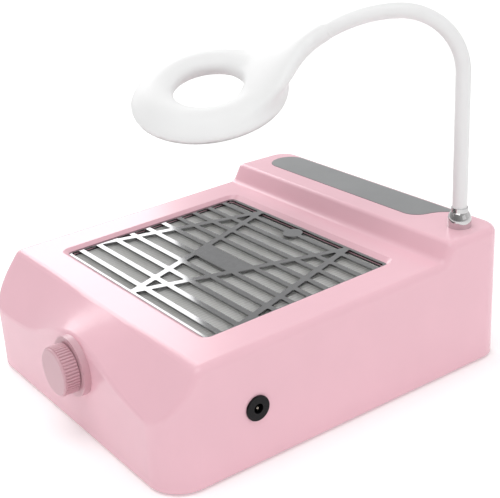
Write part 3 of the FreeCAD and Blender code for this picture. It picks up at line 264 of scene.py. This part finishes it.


# %% [markdown]
# ## Finishes by slot
#
# The CAD record names a material slot for every node. The cells that follow give
# each slot its recipe: colour in linear light, roughness, and whatever sets it
# apart. The white is used by more than one finish.

# %% Shared colours
PINK = (0.90, 0.545, 0.62)
WHITE = (0.88, 0.88, 0.88)
print("shared colours", PINK, WHITE)

# %% [markdown]
# ## Housing, grille and feet
#
# The housing is a glossy injection moulding, so its grain is almost nothing and its
# roughness low. The base under it is duller. The grille is dark polished metal: a low
# grey with a very small roughness mirrors the room, which a lighter grey would hide.
# The rubber feet are nearly black and rough.

# %% Housing, grille and feet
finish("pink_shell", PINK, 0.22, drift=0.012, grain=900, depth=0.003, rough_spread=0.02)
finish("pink_base", (0.80, 0.44, 0.51), 0.5, grain=1400, depth=0.05)
finish("grey_panel", (0.30, 0.305, 0.31), 0.38, metal=0.4, grain=1800, depth=0.02)
finish("polished_steel", (0.27, 0.27, 0.275), 0.07, metal=1.0, depth=0.0, rough_spread=0.02, patch=200)
finish("magnet_metal", (0.5, 0.5, 0.51), 0.25, metal=1.0)
finish("foot_rubber", (0.02, 0.02, 0.021), 0.8, drift=0.2, depth=0.1)
finish("screw_steel", (0.5, 0.5, 0.5), 0.3, metal=1.0)
print("housing, grille and feet finishes:", 7)

# %% [markdown]
# ## Filter and fan
#
# These pieces sit inside. Plain plastics differ in colour and grain only. The motor's
# core is a stack of thin sheets and its coils are fine wire, so their noise is
# squeezed along the axis to give thin layers, which costs far less than modelling
# every sheet and turn.

# %% Filter and fan
finish("inner_plastic", (0.66, 0.64, 0.61), 0.5, depth=0.05)
finish("filter_plastic", (0.78, 0.78, 0.76), 0.5, depth=0.05)
finish("seal_foam", (0.03, 0.03, 0.033), 0.95, drift=0.4, grain=2600, depth=0.4)
finish("filter_paper", (0.98, 0.98, 0.96), 0.9, drift=0.03, grain=2500, depth=0.1)
finish("guard_wire", (0.02, 0.02, 0.02), 0.4, drift=0.2)
finish("impeller_plastic", (0.025, 0.025, 0.027), 0.45, drift=0.2)
finish("bearing_steel", (0.55, 0.55, 0.55), 0.2, metal=1.0)
finish("core_steel", (0.2, 0.2, 0.21), 0.4, metal=1.0, squeeze=(1, 1, 12))
finish("coil_copper", (0.55, 0.2, 0.07), 0.3, metal=1.0, squeeze=(1, 1, 14), grain=800, depth=0.3)
finish("board_green", (0.01, 0.09, 0.03), 0.35, drift=0.3, patch=180)
print("filter and fan finishes:", 10)

# %% [markdown]
# ## Knob, socket and their parts
#
# The knob is a matt version of the housing's pink. The power socket is glossy black;
# a low specular level keeps its ring from turning grey under the bright world.

# %% Knob and socket
finish("knob_pink", (0.66, 0.40, 0.45), 0.33, drift=0.02, grain=1100, depth=0.01)
finish("pot_metal", (0.35, 0.35, 0.36), 0.35, metal=1.0)
finish("spindle_metal", (0.5, 0.5, 0.51), 0.3, metal=1.0)
finish("black_gloss", (0.004, 0.004, 0.005), 0.15, drift=0.2, depth=0.0,
       settings=(("Specular IOR Level", 0.2),))
finish("pin_brass", (0.32, 0.29, 0.24), 0.25, metal=1.0)
finish("parts_black", (0.02, 0.02, 0.022), 0.5, drift=0.3)
print("knob and socket finishes:", 6)

# %% [markdown]
# ## Lamp
#
# The ferrule is chrome. The neck and the head are a soft white that is a little
# rough, because a glossy white would burn out under the lights. The lens lets some
# light in, as frosted plastic does.

# %% Lamp
finish("ferrule_chrome", (0.62, 0.61, 0.61), 0.1, metal=1.0, depth=0.0)
finish("neck_white", WHITE, 0.45, drift=0.01, depth=0.02)
finish("lamp_white", WHITE, 0.5, drift=0.01, depth=0.01)
finish("lamp_lens", (0.84, 0.84, 0.83), 0.35, drift=0.01, settings=(("Transmission Weight", 0.25),))
finish("led_board_white", (0.78, 0.78, 0.75), 0.4)
finish("led_yellow", (0.85, 0.62, 0.08), 0.4, drift=0.1)
print("lamp finishes:", 6)

# %% [markdown]
# ## Painted shade in the folds
#
# The folds between the pleats lie in shade, so they are painted darker than the tips:
# painted shade. Painting every fold by hand would be slow. The paper's top is a gentle
# slope, so one measure of height above it tells tip from fold, and shades the finish.

# %% Painted shade in the folds
# Painted shade: below the pleat tips the paper darkens over this depth, down to this share.
FILTER_SLOPE = math.tan(math.radians(1.55))
FOLD_SHADE_DEPTH = 0.0025
FOLD_SHADE_DARKEST = 0.75
TIP_BAND = 0.0002


def node_points(name):
    """The points of a CAD node as rows of x, y, z."""
    return np.array([tuple(vertex.co) for vertex in nodes[name].data.vertices])


def shade_folds_by_depth(material, top, slope, depth, darkest):
    """Darkens a finish below a sloping top surface: painted shade in the folds of a filter."""
    tree = material.node_tree
    shader = tree.nodes["Principled BSDF"]
    paint = shader.inputs["Base Color"].links[0].from_socket
    place = tree.nodes.new("ShaderNodeTexCoord")
    lowered = tree.nodes.new("ShaderNodeVectorMath")
    lowered.operation = "DOT_PRODUCT"
    lowered.inputs[1].default_value = (0, -slope, 1)
    link(tree, place, "Object", lowered, 0)
    shade = tree.nodes.new("ShaderNodeMapRange")
    shade.inputs["From Min"].default_value = top - depth
    shade.inputs["From Max"].default_value = top
    shade.inputs["To Min"].default_value = darkest
    link(tree, lowered, "Value", shade, "Value")
    mix = tree.nodes.new("ShaderNodeVectorMath")
    mix.operation = "SCALE"
    tree.links.new(paint, mix.inputs[0])
    link(tree, shade, "Result", mix, "Scale")
    link(tree, mix, "Vector", shader, "Base Color")


paper_points = node_points("filter_media")
highest = paper_points[paper_points[:, 2] > paper_points[:, 2].max() - TIP_BAND].mean(axis=0)
paper_top = float(highest[2] - FILTER_SLOPE * highest[1])
# Painted shade in the folds of the filter paper.
shade_folds_by_depth(FINISHES["filter_paper"], paper_top, FILTER_SLOPE, FOLD_SHADE_DEPTH, FOLD_SHADE_DARKEST)
print("paper tips at", round(paper_top * 1000, 1), "mm where the slope crosses the middle")

# %% [markdown]
# ## Every node gets its finish
#
# A CAD node arrives with a plain material. Its record names a slot, and the slot's
# finish takes the plain one's place. The foam seal round the filter is soft.

# %% Assign
for part in record["subparts"]:
    node = nodes[part["node"]]
    node.data.materials.clear()
    node.data.materials.append(FINISHES[part["material_slot"]])
print("finished", len(record["subparts"]), "nodes with", len(FINISHES), "materials")

# %% [markdown]
# ## Where the neck runs
#
# The neck is a flexible metal hose in a smooth white sleeve. It rises straight out
# of its ferrule, bends over in a tight quarter circle and leaves in a long flat
# bow. The joints of the CAD frame lie on its centre line, so the two bows can be
# worked out from them, with no measuring by hand.

# %% Centre line of the neck
foot, knee, start, apex, tip = (
    Vector(joints[name]["pos_m"])
    for name in ("neck_swing", "neck_bend_low", "neck_bend_high", "neck_bend_top", "head_tilt")
)
UP = Vector((0, 0, 1))
lean = apex - start
lean.z = 0
lean.normalize()
side = UP.cross(lean)
neck_radius = (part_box("neck_lower")[1].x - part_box("neck_lower")[0].x) / 2
tight_radius = apex.z - start.z
run, drop = (tip - apex).dot(lean), apex.z - tip.z
long_angle = 2 * math.atan2(drop, run)
long_radius = run / math.sin(long_angle)
rise_length = start.z - foot.z
tight_length = tight_radius * math.pi / 2
long_length = long_radius * long_angle
total_length = rise_length + tight_length + long_length


def neck_line(length):
    """Point and direction of the neck at a length from its foot."""
    if length <= rise_length:
        return foot + UP * length, UP.copy()
    length -= rise_length
    if length <= tight_length:
        angle = length / tight_radius
        centre = start + lean * tight_radius
        point = centre - lean * tight_radius * math.cos(angle) + UP * tight_radius * math.sin(angle)
        return point, lean * math.sin(angle) + UP * math.cos(angle)
    angle = (length - tight_length) / long_radius
    centre = apex - UP * long_radius
    point = centre + lean * long_radius * math.sin(angle) + UP * long_radius * math.cos(angle)
    return point, lean * math.cos(angle) - UP * math.sin(angle)


print("neck radius", round(neck_radius * 1000, 2), "mm, length",
      round(total_length * 1000), "mm")

# %% [markdown]
# ## The sleeve
#
# The sleeve is made of four tubes, one for each joint. They meet halfway between the joints.
# This way isn't perfect yet: with the joints at their upper limits, steps of up to
# about two millimetres show where the tubes meet. Each tube is a row of circles
# joined by quads.


# %% Tubes
SLEEVE_SIDES = 40
SLEEVE_STEP = 0.0012


def add_object(name, mesh, material):
    """Puts a smooth mesh in the scene with one material."""
    for face in mesh.polygons:
        face.use_smooth = True
    mesh.materials.append(material)
    piece = bpy.data.objects.new(name, mesh)
    bpy.context.scene.collection.objects.link(piece)
    return piece


def loft(name, rings, material):
    """Joins rings of points, all of one length, into a closed skin with flat ends."""
    count = len(rings[0])
    points = [point for ring in rings for point in ring]
    faces = []
    for row in range(len(rings) - 1):
        for column in range(count):
            following = (column + 1) % count
            faces.append((row * count + column, row * count + following,
                          (row + 1) * count + following, (row + 1) * count + column))
    faces.append(tuple(range(count - 1, -1, -1)))
    faces.append(tuple(range((len(rings) - 1) * count, len(rings) * count)))
    mesh = bpy.data.meshes.new(name)
    mesh.from_pydata(points, [], faces)
    for edge in mesh.edges:
        low, high = sorted(edge.vertices)
        if high < count or low >= (len(rings) - 1) * count:
            edge.use_edge_sharp = True
    mesh.update()
    return add_object(name, mesh, material)


def sleeve(name, begin, end):
    """A tube along the neck between two lengths from its foot."""
    steps = max(int((end - begin) / SLEEVE_STEP), 8)
    rings = []
    for step in range(steps + 1):
        point, way = neck_line(begin + (end - begin) * step / steps)
        across = side.cross(way)
        rings.append([
            point + (side * math.cos(turn) + across * math.sin(turn)) * neck_radius
            for turn in (2 * math.pi * i / SLEEVE_SIDES for i in range(SLEEVE_SIDES))
        ])
    return loft(name, rings, FINISHES["neck_white"])


print("each tube has", SLEEVE_SIDES, "sides and a ring every", SLEEVE_STEP * 1000, "mm")

# %% The four sleeves
INTO_STEM = 0.006
BEND_REACH = 0.012
knee_at, start_at = knee.z - foot.z, rise_length
apex_at, tip_at = rise_length + tight_length, total_length
cuts = [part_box("lamp_ferrule")[0].z - foot.z, (knee_at + start_at) / 2, (start_at + apex_at) / 2,
        (apex_at + tip_at) / 2, tip_at + INTO_STEM]
SLEEVES = [
    ("sleeve_low", "neck_low", "neck_mid", knee_at, ("neck_lower", "neck_middle")),
    ("sleeve_rise", "neck_mid", "neck_high", start_at, ()),
    ("sleeve_bend", "neck_high", "neck_tip", apex_at, ("neck_upper",)),
    ("sleeve_end", "neck_tip", "lamp_head", tip_at, ("neck_end",)),
]
for index, (name, below, above, bend_at, stands_for) in enumerate(SLEEVES):
    piece = sleeve(name, cuts[index], cuts[index + 1])
    reach = BEND_REACH if above != "lamp_head" else BEND_REACH / 2
    first, last = neck_line(bend_at - reach)[0], neck_line(bend_at + reach)[0]
    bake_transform(piece)
    if stands_for:
        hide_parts(*stands_for)
    print(name, "from", round(cuts[index] * 1000), "to", round(cuts[index + 1] * 1000), "mm")

# %% [markdown]
# ## The lamp head
#
# The head is one white moulding: a thick soft ring that flows into its stem, like
# the head of a racket. The CAD solid has the right size, but its stem meets the
# ring in a crease. Sculpting would be slow to repeat, so the mesh is closed by
# machine: fill the hollow, swell the form a little, join what now touches, and
# shrink it back. Narrow creases stay filled and everything else keeps its place.
# The hollow for the lens and its small lights is cut out again at the end.

# %% The ring's own axes
lens_points = node_points("lamp_diffuser")
lens_middle = lens_points.mean(axis=0)
ring_normal = Vector(np.linalg.svd(lens_points - lens_middle)[2][2])
if ring_normal.z < 0:
    ring_normal.negate()
heights = (lens_points - lens_middle) @ np.array(ring_normal)
ring_middle = Vector(lens_middle) + ring_normal * float(heights.min())
ring_turn = ring_normal.to_track_quat("Z", "Y").to_matrix()
in_plane = (lens_points - lens_middle) - np.outer(heights, np.array(ring_normal))
radii = np.linalg.norm(in_plane, axis=1)
lens_inner, lens_outer = float(radii.min()), float(radii.max())
print("lens from", round(lens_inner * 1000, 1), "to", round(lens_outer * 1000, 1), "mm")


# %% A ring turned from a profile
RING_SIDES = 128


def ring_solid(name, profile):
    """Turns a closed profile of (radius, height) points, in mm, round the ring's axis."""
    count = len(profile)
    points = []
    for index in range(RING_SIDES):
        angle = 2 * math.pi * index / RING_SIDES
        for radius, height in profile:
            local = Vector((radius * math.cos(angle), radius * math.sin(angle), height)) / 1000
            points.append(ring_middle + ring_turn @ local)
    faces = []
    for index in range(RING_SIDES):
        here, there = index * count, (index + 1) % RING_SIDES * count
        for corner in range(count):
            following = (corner + 1) % count
            faces.append((here + corner, there + corner, there + following, here + following))
    mesh = bpy.data.meshes.new(name)
    mesh.from_pydata(points, [], faces)
    mesh.update()
    return mesh


# Heights are in mm above the lower face of the lens, radii in mm from the ring's axis.
PLUG_FOOT, PLUG_SEAT, PLUG_SHOULDER, PLUG_CROWN = 0.2, 2.2, 7.8, 10.2
PLUG_SHOULDER_RADIUS, PLUG_CROWN_RADIUS = 37.3, 30
PLUG_INSIDE, PLUG_OUTSIDE = 0.8, 0.3
HOLLOW_FOOT, HOLLOW_SEAT, HOLLOW_CEILING, HOLLOW_CEILING_RADIUS = -1, 1.8, 5.9, 39
HOLLOW_GAP = 0.1
inner_mm, outer_mm = lens_inner * 1000, lens_outer * 1000
plug_inner, plug_outer = inner_mm - PLUG_INSIDE, outer_mm + PLUG_OUTSIDE
plug_mesh = ring_solid("plug", [
    (plug_inner, PLUG_FOOT), (plug_outer, PLUG_FOOT), (plug_outer, PLUG_SEAT),
    (PLUG_SHOULDER_RADIUS, PLUG_SHOULDER), (PLUG_CROWN_RADIUS, PLUG_CROWN), (plug_inner, PLUG_SHOULDER),
])
hollow_inner, hollow_outer = inner_mm - HOLLOW_GAP, outer_mm + HOLLOW_GAP
hollow_mesh = ring_solid("hollow", [
    (hollow_inner, HOLLOW_FOOT), (hollow_outer, HOLLOW_FOOT), (hollow_outer, HOLLOW_SEAT),
    (HOLLOW_CEILING_RADIUS, HOLLOW_CEILING), (hollow_inner, HOLLOW_CEILING),
])
print("plug and hollow made")

# %% Swell, join and shrink
SWELL = 0.006
CELL = 0.0011
FIRST_SMOOTHING, LAST_SMOOTHING = 6, 24
CREASE = math.radians(50)
stock = bmesh.new()
stock.from_mesh(nodes["lamp_head_shell"].data)
stock.from_mesh(plug_mesh)
stock_mesh = bpy.data.meshes.new("head_stock")
stock.to_mesh(stock_mesh)
stock.free()
stock_piece = bpy.data.objects.new("head_stock", stock_mesh)
hollow_piece = bpy.data.objects.new("head_hollow", hollow_mesh)
for helper in (stock_piece, hollow_piece):
    bpy.context.scene.collection.objects.link(helper)


def add_step(kind, **settings):
    """Adds a modifier to the stock."""
    step = stock_piece.modifiers.new(kind.lower(), kind)
    for key, value in settings.items():
        setattr(step, key, value)


for distance in (0, SWELL, -SWELL):
    if distance:
        add_step("DISPLACE", strength=distance, mid_level=0)
    add_step("REMESH", mode="VOXEL", voxel_size=CELL)
    passes = LAST_SMOOTHING if distance < 0 else FIRST_SMOOTHING
    add_step("SMOOTH", factor=0.5, iterations=passes)
add_step("BOOLEAN", operation="DIFFERENCE", object=hollow_piece, solver="EXACT")
evaluated = stock_piece.evaluated_get(bpy.context.evaluated_depsgraph_get())
head_mesh = bpy.data.meshes.new_from_object(evaluated)
head_mesh.name = "lamp_head_moulding"
for helper in (stock_piece, hollow_piece):
    bpy.data.objects.remove(helper)
head_mesh.materials.clear()
head_piece = add_object("lamp_head_moulding", head_mesh, FINISHES["lamp_white"])
head_mesh.set_sharp_from_angle(angle=CREASE)
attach(head_piece, "lamp_head")
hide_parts("lamp_head_shell")
print("head has", len(head_mesh.polygons), "faces")

# %% [markdown]
# ## The end
#
# The visual model must keep the size of the CAD model.

# %% The end
print("scene built")
